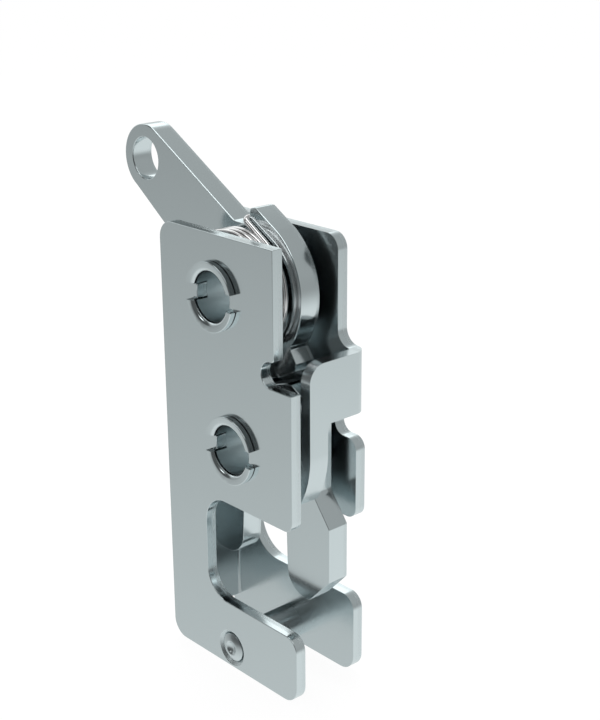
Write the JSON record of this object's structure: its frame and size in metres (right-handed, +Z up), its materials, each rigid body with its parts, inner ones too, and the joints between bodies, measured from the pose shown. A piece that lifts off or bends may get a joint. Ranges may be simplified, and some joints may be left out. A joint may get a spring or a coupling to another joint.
{
  "type": "rotary latch",
  "caption": "Rotary latch: a claw between steel plates closes round a striker bar and is held by a spring-loaded trigger until its lever is pulled.",
  "frame": {"origin": "on the axis of the lower hollow rivet, in the outer face of the near plate", "axes": "+X along the plates towards the mouth, +Y along the rivets from the near plate to the far plate, +Z up towards the trigger lever"},
  "size_m": [0.052, 0.0177, 0.0887],
  "materials": {
    "plate_zinc": "bright zinc plated cold-rolled sheet steel",
    "lever_zinc": "bright zinc plated fine-blanked steel",
    "rivet_zinc": "bright zinc plated turned steel",
    "spring_wire": "bare polished spring wire"
  },
  "bodies": {
    "housing": {"near_plate": "plate_zinc", "far_plate": "plate_zinc", "upper_rivet": "rivet_zinc", "lower_rivet": "rivet_zinc", "foot_pin": "rivet_zinc", "trigger_spring": "spring_wire", "claw_spring": "spring_wire"},
    "trigger": {"trigger": "lever_zinc"},
    "claw": {"claw": "lever_zinc"}
  },
  "joints": [
    {"name": "trigger_turn", "type": "hinge", "parent": "housing", "child": "trigger", "pos_m": [-0.0039, 0.0095, 0.025], "axis": [0, -1, 0], "range_deg": [0, 28], "stiffness_Nm_per_rad": 0.05, "springref_deg": -28.65, "deforming": ["trigger_spring"]},
    {"name": "claw_turn", "type": "hinge", "parent": "housing", "child": "claw", "pos_m": [0, 0.0095, 0], "axis": [0, -1, 0], "range_deg": [0, 56], "deforming": ["claw_spring"]}
  ],
  "couplings": [
    {"joint": "claw_turn", "follows": "trigger_turn", "ratio": 2}
  ]
}
